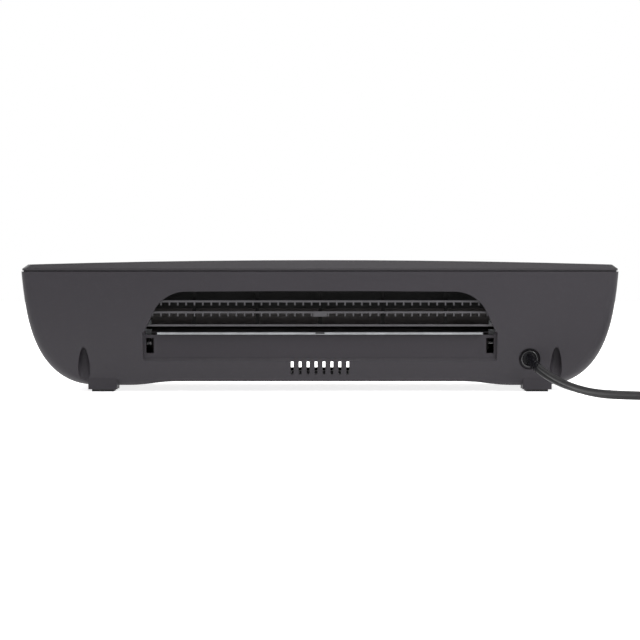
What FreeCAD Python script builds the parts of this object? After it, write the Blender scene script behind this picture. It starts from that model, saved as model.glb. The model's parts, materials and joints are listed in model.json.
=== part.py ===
import FreeCAD, Part
import math
import os

os.makedirs("parts", exist_ok=True)

# A desktop pouch laminator, in millimetres. +Z is up, pouches go in at the front (-Y) and come out
# at the rear (+Y). The origin is on the table, in the middle of the machine's footprint.

V = FreeCAD.Vector
ALONG_X, ALONG_Y = V(1, 0, 0), V(0, 1, 0)

# ---- Case ----
case_width = 435.0
case_depth = 140.0
rim_height = 88.0        # top edge of the lower housing
base_height = 4.5        # flat underside beside the feet
wall = 2.6
side_draft = 8.0         # how far the sides lean in from rim to base
side_belly = 39.5        # how far the sides curl under the base
end_draft = 3.0          # the same two for the front and rear
end_belly = 16.0
belly_power = 3.15       # how late the curl begins
rim_corner = 7.0         # vertical corner radius at the rim
base_corner = 19.0       # vertical corner radius at the base
arch_rise = 3.1          # the underside is higher between the feet
arch_inner = 101.0       # half width of the raised part
arch_outer = 145.0       # where its S-shaped ends come down

# ---- Lid ----
seam_height = 0.7        # dark gap between rim and lid
seam_depth = 1.6
lid_inset = 0.6          # the rim stands this much proud of the lid
lid_lip = 1.4            # upright lip above the seam
lid_top = 96.3           # in the middle
lid_bevel_height = 7.0
lid_bevel_side = 9.3
lid_bevel_end = 4.7
lid_crown_radius = 7000.0
lid_wall = 2.4
tongue_depth = 3.0
tongue_width = 1.6
tongue_gap = 1.0          # to the housing's inside at the rim

# ---- Pouch path and exit ----
path_height = 45.9       # the pouch's plane
mouth_sill = 44.0
mouth_half = 128.0       # half width at the sill
mouth_shoulder = (121.2, 58.5)
mouth_bend = (113.5, 68.0)
mouth_top = (98.0, 73.4)
mouth_crown = 73.8
recess_half = 129.0
recess_back = 61.6       # the recessed panel's plane
recess_low = 22.4
ledge_height = 2.4
ledge_depth = 1.9
recess_corner = 3.0
hook_hole = (121.4, 126.9, 28.5, 39.5)      # beside the panel: low x, high x, low z, high z
corner_slot = (119.2, 127.6, 41.9, 43.6)
shelf_half = 118.5
shelf_top = 43.8
shelf_thickness = 1.8
shelf_front = 66.0
shelf_back = 41.0
shelf_notch = 3.3
grille_front = 63.6
grille_depth = 7.5
grille_half = 131.0
grille_bars = ((48.0, 1.5), (57.5, 1.5), (65.5, 1.5))  # underside height, thickness
tooth_pitch = 6.1
tooth_width = 1.1
tooth_height = 2.2

# ---- Vents, wells and feet ----
vent_count = 8
vent_pitch = 5.8
vent_width = 2.0
vent_low = 13.0
vent_high = 22.4
floor_vent_width = 3.2
floor_vent_rear = -6.0
floor_vent_front = -44.0
front_vent_half = 27.0   # one low slot through the front wall
front_vent_low = 12.4
front_vent_high = 18.2
well_x = 172.2
well_y = 61.3
well_radius = 4.35
well_height = 35.1
front_screw_x = 140.0
front_screw_y = -52.0
foot_x = 159.2
foot_y = 48.0
foot_width = 21.0
foot_depth = 20.0
foot_low = 1.7
pad_size = 16.0
pad_recess = 0.8

# ---- Chassis and rollers ----
plate_inner = 136.0      # inner face of each side plate
plate_thickness = 1.5
plate_half_depth = 45.0
plate_low = 12.0
plate_high = 82.0
flange_reach = 12.0
flange_y = 36.0
roller_gap = 0.3         # between the two sleeves of a pair
gear_module = 1.25
roller_teeth = 18
idler_teeth = 27
pinion_teeth = 14
gear_start = 141.0
gear_width = 8.0
gear_backlash = 0.25
addendum = 1.0
dedendum = 1.35
pressure_angle = 20.0
sleeve_half = 125.0
core_radius = 5.0
journal_radius = 4.0
gear_seat_radius = 3.5
running_gap = 0.05       # radial, shaft in bore
sliding_gap = 0.15
bushing_radius = 6.0
release_lift = 1.2
release_turn = 40.0
release_height = 66.0
release_radius = 2.5
cam_radius = 5.2
cam_clearance = 0.35
lever_length = 27.5
lever_x = -153.0
dish_depth = 4.0         # the hollow in the lid that the lever stands in
spring_radius = 2.4
spring_wire = 0.5
spring_turns = 4
tie_rod_radius = 3.0
tie_rod_y = 40.0
tie_rod_height = 73.0
heater_half = 124.0
heater_half_depth = 13.0
heater_gap = 1.6         # pouch plane to each heater plate
heater_thickness = 5.4
strip_thickness = 1.5

# ---- Controls ----
panel_half = 75.0
panel_half_depth = 13.0
panel_y = -46.0
panel_thickness = 2.0
panel_rim = 3.0
button_radius = 5.5
button_gap = 0.3
button_travel = 1.2
button_places = {"power_button": -45.0, "thin_pouch_button": 8.0, "thick_pouch_button": 45.0}
lens_radius = 1.9
lens_places = {"power_lens": -22.0, "ready_lens": -14.0}
board_drop = 12.0        # lid top to the control board
board_thickness = 1.6
board_half = 60.0
board_screw_x = 54.0
board_screw_ys = (-56.0, -36.5)
board_screw_edge = 3.2   # from a screw's middle to the board's edge

# ---- Mains lead ----
gland_x = -152.8
gland_height = 24.3
gland_hole_radius = 7.75
gland_seat = 60.5        # the counterbore's floor
gland_flange_radius = 6.35
gland_flange = 2.8
gland_neck_radius = 4.8
cord_thickness = 3.6     # the thin side of the flat two-core lead
coil_centre = (-287.0, 112.0)
coil_radius = 38.5       # middle of the turns
coil_half_width = 10.5
coil_height = 11.4
plug_x = -325.0
plug_back = 44.0
# From the gland's face to the coil; chosen by hand.
cord_route = (
    (gland_x, gland_seat + gland_flange, gland_height),
    (gland_x, 71.5, 23.4),
    (-156.5, 81.5, 18.6),
    (-163.0, 92.5, 13.4),
    (-171.5, 104.5, 9.0),
    (-181.0, 117.5, 5.6),
    (-190.5, 131.0, 3.4),
    (-201.0, 144.0, 2.1),
    (-214.5, 153.5, 1.8),
    (-231.0, 158.3, 1.9),
    (-250.0, 159.0, 1.8),
    (-270.0, 158.0, 1.9),
)
# From the coil's top layer to the plug.
tail_route = (
    (-326.6, 84.0, 9.4),
    (-327.0, 73.0, 8.9),
    (-326.2, 63.0, 7.8),
    (plug_x, 53.0, 7.0),
    (plug_x, plug_back, 7.0),
)


def box(x, y, z):
    """A block between three (low, high) pairs."""
    return Part.makeBox(x[1] - x[0], y[1] - y[0], z[1] - z[0], V(x[0], y[0], z[0]))


def rod(radius, start, end):
    """A round bar from one point to another."""
    start, end = V(*start), V(*end)
    return Part.makeCylinder(radius, (end - start).Length, start, end - start)


def bar_x(radius, x, y, z):
    """A round bar along X, from x[0] to x[1]."""
    return rod(radius, (x[0], y, z), (x[1], y, z))


def post(radius, x, y, z):
    """An upright round bar, from z[0] to z[1]."""
    return rod(radius, (x, y, z[0]), (x, y, z[1]))


def prism_x(points, x):
    """A YZ outline drawn out along X."""
    wire = Part.makePolygon([V(x[0], y, z) for y, z in points + points[:1]])
    return Part.Face(wire).extrude(V(x[1] - x[0], 0, 0))


def prism_y(points, y):
    """An XZ outline drawn out along Y."""
    wire = Part.makePolygon([V(x, y[0], z) for x, z in points + points[:1]])
    return Part.Face(wire).extrude(V(0, y[1] - y[0], 0))


def other_side(shape):
    """The same piece on the other side of the machine."""
    return shape.mirror(V(0, 0, 0), ALONG_X)


def both_sides(shape):
    return [shape, other_side(shape)]


def joined(first, *others):
    return first.fuse([o for o in others]).removeSplitter()


def rounded_outline(half_x, half_y, radius, z):
    """A level rectangle with round corners."""
    edges = []
    corners = ((1, 1), (-1, 1), (-1, -1), (1, -1))
    arcs = []
    for sx, sy in corners:
        centre = V(sx * (half_x - radius), sy * (half_y - radius), z)
        ends = [centre + V(sx * radius, 0, 0), centre + V(0, sy * radius, 0)]
        if sx * sy < 0:
            ends.reverse()
        middle = centre + V(sx, sy, 0) * (radius / math.sqrt(2))
        arcs.append((ends[0], middle, ends[1]))
    for here, after in zip(arcs, arcs[1:] + arcs[:1]):
        edges.append(Part.Arc(*here).toShape())
        edges.append(Part.LineSegment(here[2], after[0]).toShape())
    return Part.Wire(edges)


def hull(inset):
    """The boat-shaped body, moved inwards and upwards by inset; its sides are superellipses."""
    levels = []
    for angle in (0, 15, 30, 45, 58, 70, 80, 86, 90):
        drop = math.sin(math.radians(angle)) ** (2 / belly_power)
        curl = 1 - math.cos(math.radians(angle))
        levels.append(rounded_outline(
            case_width / 2 - side_draft * drop - side_belly * curl - inset,
            case_depth / 2 - end_draft * drop - end_belly * curl - inset,
            rim_corner + (base_corner - rim_corner) * curl - inset,
            rim_height - drop * (rim_height - base_height) + inset,
        ))
    return Part.makeLoft(levels, True, False)


def save(name, *solids):
    """One STEP file for each named piece, or for a set of pieces that are alike."""
    whole = solids[0] if len(solids) == 1 else Part.makeCompound(list(solids))
    for solid in whole.Solids:
        if not solid.isValid():
            print("not valid:", name)
    print(f"{name}: {len(whole.Solids)} solids, {whole.Volume / 1000:.2f} cm3")
    whole.exportStep(f"parts/{name}.step")


# ---- Case pieces ----
rear_outer = case_depth / 2 + 2
vent_places = [(i - (vent_count - 1) / 2) * vent_pitch for i in range(vent_count)]
arch_height = base_height + arch_rise
floor_top = arch_height + wall


def mouth_cut():
    """The wide exit mouth, with its slanted and rounded sides."""
    points = {name: [V(side * x, 0, z) for side in (-1, 1)] for name, (x, z) in {
        "sill": (mouth_half, mouth_sill), "shoulder": mouth_shoulder,
        "bend": mouth_bend, "top": mouth_top}.items()}
    left, right = 0, 1
    edges = [
        Part.LineSegment(points["sill"][left], points["shoulder"][left]).toShape(),
        Part.Arc(points["shoulder"][left], points["bend"][left], points["top"][left]).toShape(),
        Part.Arc(points["top"][left], V(0, 0, mouth_crown), points["top"][right]).toShape(),
        Part.Arc(points["top"][right], points["bend"][right], points["shoulder"][right]).toShape(),
        Part.LineSegment(points["shoulder"][right], points["sill"][right]).toShape(),
        Part.LineSegment(points["sill"][right], points["sill"][left]).toShape(),
    ]
    opening = Part.Face(Part.Wire(edges)).extrude(V(0, rear_outer - recess_back + 2 * wall, 0))
    opening.translate(V(0, recess_back - 2 * wall, 0))
    shelf_room = box((-shelf_half - 0.1, shelf_half + 0.1), (recess_back - 2 * wall, rear_outer),
                     (shelf_top - shelf_thickness, mouth_sill + 0.1))
    return opening.fuse(shelf_room)


def recess_cut():
    """The shallow panel under the mouth, with a sloping ledge along its foot."""
    block = box((-recess_half, recess_half), (recess_back, rear_outer), (recess_low, mouth_sill))
    low_corners = [e for e in block.Edges
                   if abs(e.BoundBox.ZMax - recess_low) < 0.01 and e.BoundBox.YLength > 1]
    block = block.makeFillet(recess_corner, low_corners)
    ledge = prism_x([(recess_back - 1, recess_low - 1), (recess_back - 1, recess_low + ledge_height),
                     (recess_back, recess_low + ledge_height),
                     (recess_back + ledge_depth, recess_low), (recess_back + ledge_depth, recess_low - 1)],
                    (-case_width / 2, case_width / 2))
    return block.cut(ledge)


def arch_cut():
    """The raised middle of the underside, with S-shaped ends."""
    middle = (arch_inner + arch_outer) / 2
    low = base_height - 2

    def s_curve(side):
        curve = Part.BezierCurve()
        curve.setPoles([V(side * x, 0, z) for x, z in (
            (arch_outer, base_height), (middle, base_height),
            (middle, arch_height), (arch_inner, arch_height))])
        return curve.toShape()

    edges = [
        s_curve(-1),
        Part.LineSegment(V(-arch_inner, 0, arch_height), V(arch_inner, 0, arch_height)).toShape(),
        s_curve(1),
        Part.LineSegment(V(arch_outer, 0, base_height), V(arch_outer, 0, low)).toShape(),
        Part.LineSegment(V(arch_outer, 0, low), V(-arch_outer, 0, low)).toShape(),
        Part.LineSegment(V(-arch_outer, 0, low), V(-arch_outer, 0, base_height)).toShape(),
    ]
    face = Part.Face(Part.Wire(Part.__sortEdges__(edges)))
    cut = face.extrude(V(0, case_depth, 0))
    cut.translate(V(0, -case_depth / 2, 0))
    return cut


entry_low, entry_high = path_height - 5.0, path_height + 9.0
entry_half = 127.0
throat_half = 2.25       # half the gap at the funnel's narrow end
funnel_lip = 1.6
screw_shank = 1.5
screw_hole = 1.7
case_post_radius = 3.4
boss_wall = 2.4
chassis_boss_radius = 4.0
front_seat = floor_top + 1.6     # under the heads of the front case screws
# Where each case screw goes in: x, y, the height of its seat, and the height of the housing's boss.
case_screw_places = ((well_x, well_y, well_height, well_height + boss_wall),
                     (front_screw_x, front_screw_y, front_seat, front_seat + boss_wall))
chassis_screw_x = plate_inner + plate_thickness + flange_reach / 2
board_posts = [(x, y) for x in (-184.0, -152.0) for y in (-28.0, 22.0)]
power_board_low = 20.0


def lower_housing():
    outer = hull(0)
    shell = outer.cut(hull(wall))
    inside_floor = box((-arch_outer - 3, arch_outer + 3), (-case_depth / 2, case_depth / 2),
                       (base_height, floor_top))
    additions = [inside_floor,
                 box((-recess_half - wall, recess_half + wall), (recess_back - wall, rear_outer),
                     (recess_low - wall, mouth_sill))]
    for side in (-1, 1):
        additions.append(post(well_radius + boss_wall, side * well_x, well_y, (0, well_height + boss_wall)))
        additions.append(post(well_radius + 1.6, side * front_screw_x, front_screw_y,
                              (0, front_seat + boss_wall)))
    additions.append(rod(gland_hole_radius + boss_wall, (gland_x, gland_seat - 3.0, gland_height),
                         (gland_x, rear_outer, gland_height)))
    pads = additions[0].fuse(additions[1:]).common(outer)
    bosses = []
    for y in (-flange_y, flange_y):
        bosses += both_sides(post(chassis_boss_radius, chassis_screw_x, y, (base_height + 1.5, plate_low)))
    bosses += [post(3.0, x, y, (base_height + 1.5, power_board_low)).common(outer) for x, y in board_posts]
    feet = []
    for y in (-foot_y, foot_y):
        feet += both_sides(box((foot_x - foot_width / 2, foot_x + foot_width / 2),
                               (y - foot_depth / 2, y + foot_depth / 2), (foot_low, base_height + 1.5)))
        outward = 1 if y > 0 else -1
        edge = y + outward * foot_depth / 2
        feet += both_sides(box((foot_x - foot_width / 2, foot_x + foot_width / 2),
                               tuple(sorted((edge - outward * 9.0, edge))), (foot_low, base_height + 5.0)))
    body = shell.fuse([pads] + bosses + feet)

    cuts = [mouth_cut(), recess_cut(), arch_cut()]
    low_x, high_x, low_z, high_z = hook_hole
    cuts += both_sides(box((low_x, high_x), (recess_back - 2 * wall, rear_outer), (low_z, high_z)))
    low_x, high_x, low_z, high_z = corner_slot
    cuts += both_sides(box((low_x, high_x), (recess_back - 2 * wall, rear_outer), (low_z, high_z)))
    for x in vent_places:
        cuts.append(box((x - vent_width / 2, x + vent_width / 2), (50, rear_outer), (vent_low, vent_high)))
        cuts.append(box((x - floor_vent_width / 2, x + floor_vent_width / 2),
                        (floor_vent_front, floor_vent_rear), (0, floor_top + 1)))
    well = post(well_radius, well_x, well_y, (0, well_height))
    cuts += both_sides(well.makeFillet(1.3, [e for e in well.Edges if e.BoundBox.ZMin > well_height - 0.1]))
    cuts += both_sides(post(well_radius, front_screw_x, front_screw_y, (0, front_seat)))
    for radius, start in ((gland_hole_radius, gland_seat), (gland_neck_radius, gland_seat - 5)):
        cuts.append(rod(radius, (gland_x, start, gland_height), (gland_x, rear_outer, gland_height)))
    cuts.append(box((-entry_half, entry_half), (-rear_outer, -case_depth / 2 + 10),
                    (entry_low, entry_high)))
    cuts.append(box((-front_vent_half, front_vent_half), (-rear_outer, -50),
                    (front_vent_low, front_vent_high)))
    for y in (-flange_y, flange_y):
        cuts += both_sides(post(screw_shank, chassis_screw_x, y, (base_height + 2.4, plate_low + 1)))
    cuts += [post(1.2, x, y, (base_height + 6, power_board_low + 1)) for x, y in board_posts]
    for y in (-foot_y, foot_y):
        cuts += both_sides(box((foot_x - pad_size / 2, foot_x + pad_size / 2),
                               (y - pad_size / 2, y + pad_size / 2), (0, foot_low + pad_recess)))
    body = body.cut(cuts)
    for x, y, seat_height, boss_top in case_screw_places:
        for hole in both_sides(post(screw_hole, x, y, (seat_height - 1, boss_top + 1))):
            body = body.cut(hole)
    return body


save("lower_housing", lower_housing())
save("rubber_feet", *[
    piece for y in (-foot_y, foot_y)
    for piece in both_sides(box((foot_x - pad_size / 2, foot_x + pad_size / 2),
                                (y - pad_size / 2, y + pad_size / 2), (0, foot_low + pad_recess)))])


lid_low = rim_height + seam_height
panel_top = lid_top - 0.6
board_top = lid_top - board_drop
board_low = board_top - board_thickness
board_screw_places = [(x, y) for x in (-board_screw_x, board_screw_x) for y in board_screw_ys]
lid_vents = [(i - 11.5) * 6.0 for i in range(24)]


def bevelled(inset, low, top):
    """The lid's block: an upright lip, then sides that lean in, under a wide crown."""
    lip = low + lid_lip + (0.4 if inset else 0)
    half_x, half_y = case_width / 2 - lid_inset - inset, case_depth / 2 - lid_inset - inset
    corner = rim_corner - lid_inset - inset
    levels = [rounded_outline(half_x, half_y, corner, low),
              rounded_outline(half_x, half_y, corner, lip),
              rounded_outline(half_x - lid_bevel_side, half_y - lid_bevel_end, corner,
                              lip + lid_bevel_height)]
    upright = Part.makeLoft(levels[:2], True, True)
    leaning = Part.makeLoft(levels[1:], True, True)
    crown = Part.makeCylinder(lid_crown_radius, case_depth + 20,
                              V(0, -case_depth / 2 - 10, top - lid_crown_radius), ALONG_Y)
    return upright.fuse(leaning).common(crown)


def lid_surface(x):
    """Height of the lid's top at a place across the machine."""
    return lid_top - x * x / (2 * lid_crown_radius)


def ring(outer_half, inner_half, low, high):
    """A low wall that follows the rim."""
    corner = rim_corner - wall
    outside, inside = [Part.Face(rounded_outline(half[0], half[1], corner, low)).extrude(
        V(0, 0, high - low)) for half in (outer_half, inner_half)]
    return outside.cut(inside)


def top_cover():
    outer = bevelled(0, lid_low, lid_top)
    shell = outer.cut(bevelled(lid_wall, lid_low - 1, lid_top - lid_wall))
    tongue_outer = (case_width / 2 - wall - tongue_gap, case_depth / 2 - wall - tongue_gap)
    tongue_inner = (tongue_outer[0] - tongue_width, tongue_outer[1] - tongue_width)
    neck_outer = (case_width / 2 - seam_depth, case_depth / 2 - seam_depth)
    tongue = ring(tongue_outer, tongue_inner, rim_height - tongue_depth, rim_height + 0.1)
    neck = ring(neck_outer, tongue_inner, rim_height, lid_low + 0.3)
    seat = box((-panel_half - panel_rim, panel_half + panel_rim),
               (panel_y - panel_half_depth - panel_rim, panel_y + panel_half_depth + panel_rim),
               (panel_top - panel_thickness - 2.0, lid_top)).common(outer)
    lever_dish = lid_surface(lever_x) - dish_depth
    dish = box((lever_x - 10, lever_x + 10), (-22, 22), (lever_dish - lid_wall, lid_top)).common(outer)
    room = hull(wall + 0.3).fuse(outer)
    posts = [post(2.5, x, y, (board_top, lid_top - lid_wall)) for x, y in board_screw_places]
    for x, y, seat_height, boss_top in case_screw_places:
        posts += both_sides(post(case_post_radius, x, y, (boss_top, lid_top - lid_wall)))
    body = shell.fuse([tongue, neck, seat, dish] + [p.common(room) for p in posts])
    cuts = [box((-panel_half, panel_half), (panel_y - panel_half_depth, panel_y + panel_half_depth),
                (panel_top - panel_thickness, lid_top + 1)),
            box((-panel_half + 4, panel_half - 4),
                (panel_y - panel_half_depth + 3, panel_y + panel_half_depth - 3),
                (panel_top - panel_thickness - 5, lid_top))]
    dish_cut = box((lever_x - 8, lever_x + 8), (-20, 20), (lever_dish, lid_top + 1))
    cuts.append(dish_cut.makeFillet(3.0, [e for e in dish_cut.Edges if e.BoundBox.ZLength > 1]))
    cuts.append(box((lever_x - 4.2, lever_x + 4.2), (-16, 16), (rim_height - 5, lid_top)))
    cuts += [box((x - 1.2, x + 1.2), (28, 50), (rim_height + 1, lid_top + 1)) for x in lid_vents]
    cuts += [post(1.1, x, y, (board_top - 1, board_top + 6)) for x, y in board_screw_places]
    for x, y, seat_height, boss_top in case_screw_places:
        cuts += both_sides(post(screw_shank, x, y, (seat_height, seat_height + 16)))
    return body.cut(cuts)


save("top_cover", top_cover())


def screw(radius, head_radius, length, head, base, direction):
    """A pan-head screw: base is the seat under its head, direction the way it goes in."""
    base, direction = V(*base), V(*direction)
    shank = Part.makeCylinder(radius, length, base, direction)
    top = Part.makeCylinder(head_radius, head, base, direction * -1)
    return shank.fuse(top).removeSplitter()


case_screws = []
for x, y, seat_height, boss_top in case_screw_places:
    case_screws += both_sides(screw(screw_shank - 0.02, 2.75, 12.0, 2.0, (x, y, seat_height), (0, 0, 1)))
save("case_screws", *case_screws)


# ---- Exit ----
def exit_shelf():
    plate = box((-shelf_half, shelf_half), (shelf_back, shelf_front),
                (shelf_top - shelf_thickness, shelf_top))
    front = [e for e in plate.Edges if e.BoundBox.YMin > shelf_front - 0.01 and e.BoundBox.XLength > 10]
    plate = plate.makeFillet(0.75, front)
    notch = box((-shelf_notch, shelf_notch), (shelf_front - 1.4, shelf_front + 1),
                (shelf_top - 1.2, shelf_top + 1))
    ribs = []
    for i in range(-9, 10):
        ribs.append(box((i * 12.0 - 0.6, i * 12.0 + 0.6), (shelf_back, recess_back - wall - 0.3),
                        (shelf_top - shelf_thickness - 3, shelf_top - shelf_thickness)))
    return plate.fuse(ribs).cut(notch)


def exit_grille():
    """Three slats with a row of short teeth under each, joined by cheeks, a head rail and back posts."""
    back = grille_front - grille_depth
    parts = []
    for low, thickness in grille_bars:
        teeth = int(grille_half / tooth_pitch) - 1
        points = [(-grille_half, low), (-grille_half, low + thickness),
                  (grille_half, low + thickness), (grille_half, low)]
        if low > grille_bars[0][0]:
            for i in range(teeth, -teeth - 1, -1):
                x = i * tooth_pitch
                points += [(x + tooth_width / 2, low), (x + tooth_width / 2, low - tooth_height),
                           (x - tooth_width / 2, low - tooth_height), (x - tooth_width / 2, low)]
        parts.append(prism_y(points, (back + 1.5, grille_front)))
    head = mouth_crown + 1.0
    parts.append(box((-grille_half, grille_half), (back, grille_front), (head, head + 3)))
    for i in range(-2, 3):
        parts.append(box((i * 46.0 - 1.2, i * 46.0 + 1.2), (back, back + 2), (grille_bars[0][0], head + 1)))
    parts += both_sides(box((grille_half - 2.5, grille_half), (back, grille_front - 1.8),
                            (mouth_sill, head + 3)))
    parts.append(box((-5, 5), (back + 1.5, grille_front), (grille_bars[1][0] - 2.4, grille_bars[1][0])))
    return parts[0].fuse(parts[1:]).removeSplitter()


save("exit_shelf", exit_shelf())
save("exit_grille", exit_grille())


# ---- Entry ----
def entry_guide():
    """The funnel that leads a pouch to the first pair of rollers."""
    front, back = -case_depth / 2 + 1.2, -plate_half_depth + 0.6
    throat_low, throat_high = path_height - throat_half, path_height + throat_half
    reach = (-entry_half + 0.1, entry_half - 0.1)
    low = prism_x([(front, entry_low), (front, entry_low + funnel_lip), (back, throat_low),
                   (back, throat_low - funnel_lip), (front + 6, entry_low)], reach)
    high = prism_x([(front + 2.2, entry_high), (front + 2.2, entry_high - funnel_lip), (back, throat_high),
                    (back, throat_high + funnel_lip), (front + 8, entry_high)], reach)
    cheek = prism_x([(front + 2.2, entry_low), (front + 2.2, entry_high), (back, throat_high + funnel_lip),
                     (back, throat_low - funnel_lip), (front + 6, entry_low)],
                    (entry_half - 2.1, entry_half - 0.1))
    return low.fuse([high] + both_sides(cheek)).removeSplitter()


save("entry_guide", entry_guide())

# ---- Rollers: places and gears ----
pitch_radius = gear_module * roller_teeth / 2
idler_pitch_radius = gear_module * idler_teeth / 2
pinion_pitch_radius = gear_module * pinion_teeth / 2
sleeve_radius = pitch_radius - roller_gap / 2
lower_height = path_height - pitch_radius
upper_height = path_height + pitch_radius
roller_y = pitch_radius + idler_pitch_radius
pinion_height = lower_height + idler_pitch_radius + pinion_pitch_radius
roller_places = {"lower_hot": (-roller_y, lower_height), "upper_hot": (-roller_y, upper_height),
                 "lower_exit": (roller_y, lower_height), "upper_exit": (roller_y, upper_height)}


def gear_outline(teeth, turn):
    """An involute spur gear about the X axis; turn is the angle of one tooth from +Y, in degrees."""
    pitch = gear_module * teeth / 2
    pressure = math.radians(pressure_angle)
    base = pitch * math.cos(pressure)
    tip, root = pitch + addendum, pitch - dedendum
    half = math.pi / (2 * teeth) - gear_backlash / (2 * pitch) + math.tan(pressure) - pressure
    flank = [(root, half)]
    for step in range(6):
        radius = base + (tip - base) * step / 5
        angle = math.acos(base / radius)
        flank.append((radius, half - math.tan(angle) + angle))
    points = []
    for tooth in range(teeth):
        middle = math.radians(turn) + 2 * math.pi * tooth / teeth
        side = [(r, middle - a) for r, a in flank] + [(r, middle + a) for r, a in reversed(flank)]
        points += [(r * math.cos(a), r * math.sin(a)) for r, a in side]
    return points


def gear(teeth, turn, place, bore):
    y, z = place
    solid = prism_x([(y + a, z + b) for a, b in gear_outline(teeth, turn)],
                    (gear_start, gear_start + gear_width))
    return solid.cut(bar_x(bore, (gear_start - 1, gear_start + gear_width + 1), y, z))


def meshed(teeth, driver_teeth, driver_turn, bearing):
    """The turn that puts a gear in mesh with its driver, when it lies at that bearing from it."""
    phase = (bearing - driver_turn) * driver_teeth / 360 % 1
    return (bearing + 180 + (phase + 0.5) * 360 / teeth) % (360 / teeth)


turns = {"lower_hot": 10.0}
turns["upper_hot"] = meshed(roller_teeth, roller_teeth, turns["lower_hot"], 90)
turns["idler"] = meshed(idler_teeth, roller_teeth, turns["lower_hot"], 0)
turns["lower_exit"] = meshed(roller_teeth, idler_teeth, turns["idler"], 0)
turns["upper_exit"] = meshed(roller_teeth, roller_teeth, turns["lower_exit"], 90)
turns["pinion"] = meshed(pinion_teeth, idler_teeth, turns["idler"], 90)

for name, (y, z) in roller_places.items():
    far_end = plate_inner + plate_thickness + 2.0
    core = joined(bar_x(core_radius, (-sleeve_half - 1, sleeve_half + 1), y, z),
                  bar_x(journal_radius, (-far_end, gear_start - 0.4), y, z),
                  bar_x(gear_seat_radius, (gear_start - 1, gear_start + gear_width + 0.8), y, z))
    save(name + "_shaft", core)
    save(name + "_sleeve", bar_x(sleeve_radius, (-sleeve_half, sleeve_half), y, z).cut(
        bar_x(core_radius, (-sleeve_half, sleeve_half), y, z)))
    save(name + "_gear", gear(roller_teeth, turns[name], (y, z), gear_seat_radius))

stud_radius = 3.0
save("idler_gear", gear(idler_teeth, turns["idler"], (0, lower_height), stud_radius + running_gap))
save("idler_stud", joined(
    bar_x(stud_radius, (plate_inner + plate_thickness, gear_start + gear_width + 1.2), 0, lower_height),
    bar_x(stud_radius + 1, (plate_inner + plate_thickness, gear_start - 0.2), 0, lower_height),
    bar_x(stud_radius + 1.5, (gear_start + gear_width + 0.2, gear_start + gear_width + 1.2),
          0, lower_height)))

# ---- Chassis ----
slot_half = 6.0
carriage_neck = 8.0
lug_low = release_height + cam_radius + cam_clearance
lug_thickness = 4.0
spring_seat = 83.0
tab_inner = 128.5
carriage_inner, carriage_outer = 129.9, plate_inner - sliding_gap


def side_plate():
    """The +X side plate: bushing bores below, open slots for the carriages above."""
    x = (plate_inner, plate_inner + plate_thickness)
    plate = box(x, (-plate_half_depth, plate_half_depth), (plate_low, plate_high))
    parts = []
    for sign in (-1, 1):
        y = sign * roller_y
        parts.append(box((tab_inner, x[1]), (y - 6.0, y + 6.0), (spring_seat, spring_seat + 1.5)))
        parts.append(box(x, (y - 6.0, y + 6.0), (plate_high - 0.1, spring_seat + 1.5)))
        parts.append(box((x[0], x[1] + flange_reach), (sign * flange_y - 6, sign * flange_y + 6),
                         (plate_low, plate_low + plate_thickness)))
    plate = plate.fuse(parts)
    cuts = []
    for sign in (-1, 1):
        y = sign * roller_y
        cuts.append(bar_x(bushing_radius, (x[0] - 1, x[1] + 1), y, lower_height))
        cuts.append(box((x[0] - 1, x[1] + 1), (y - slot_half, y + slot_half),
                        (upper_height - carriage_neck - sliding_gap,
                         upper_height + carriage_neck + release_lift + 0.5)))
        cuts.append(bar_x(screw_hole, (x[0] - 1, x[1] + 1), sign * tie_rod_y, tie_rod_height))
        cuts.append(post(screw_hole, chassis_screw_x, sign * flange_y, (plate_low - 1, plate_low + 3)))
    cuts.append(bar_x(release_radius + running_gap, (x[0] - 1, x[1] + 1), 0, release_height))
    for z in heater_screw_heights:
        cuts.append(bar_x(screw_hole, (x[0] - 1, x[1] + 1), 0, z))
    return plate.removeSplitter().cut(cuts)


heater_low = path_height - heater_gap - heater_thickness
heater_high = path_height + heater_gap
heater_screw_heights = (heater_low + heater_thickness / 2, heater_high + heater_thickness / 2)
save("drive_side_plate", side_plate())
save("far_side_plate", other_side(side_plate()))
save("tie_rods", *[bar_x(tie_rod_radius, (-plate_inner, plate_inner), y, tie_rod_height).cut(
    both_sides(bar_x(screw_shank, (plate_inner - 9, plate_inner), y, tie_rod_height)))
    for y in (-tie_rod_y, tie_rod_y)])

bushings = []
for sign in (-1, 1):
    y = sign * roller_y
    bushing = joined(bar_x(bushing_radius, (plate_inner, plate_inner + plate_thickness), y, lower_height),
                     bar_x(bushing_radius + 1.5, (plate_inner - 2.0, plate_inner), y, lower_height))
    bushing = bushing.cut(bar_x(journal_radius + running_gap, (plate_inner - 3, plate_inner + 4),
                                y, lower_height))
    bushings += both_sides(bushing)
save("shaft_bushings", *bushings)


def carriage(sign):
    """A sliding bearing for one end of an upper roller, with an arm over the release cam."""
    y = sign * roller_y
    block = box((carriage_inner, carriage_outer), (y - 8, y + 8), (upper_height - 8.5, upper_height + 8.5))
    neck = box((carriage_outer, plate_inner + plate_thickness + 1.2),
               (y - slot_half + sliding_gap, y + slot_half - sliding_gap),
               (upper_height - carriage_neck, upper_height + carriage_neck))
    web = box((carriage_inner, carriage_outer), tuple(sorted((y - sign * 4.5, y + sign * 8))),
              (upper_height + 8, lug_low + lug_thickness))
    arm = box((carriage_inner, carriage_outer), tuple(sorted((sign * 1.0, y + sign * 8))),
              (lug_low, lug_low + lug_thickness))
    body = block.fuse([neck, web, arm]).removeSplitter()
    return body.cut(bar_x(journal_radius + running_gap, (carriage_inner - 1, plate_inner + 5),
                          y, upper_height))


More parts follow.
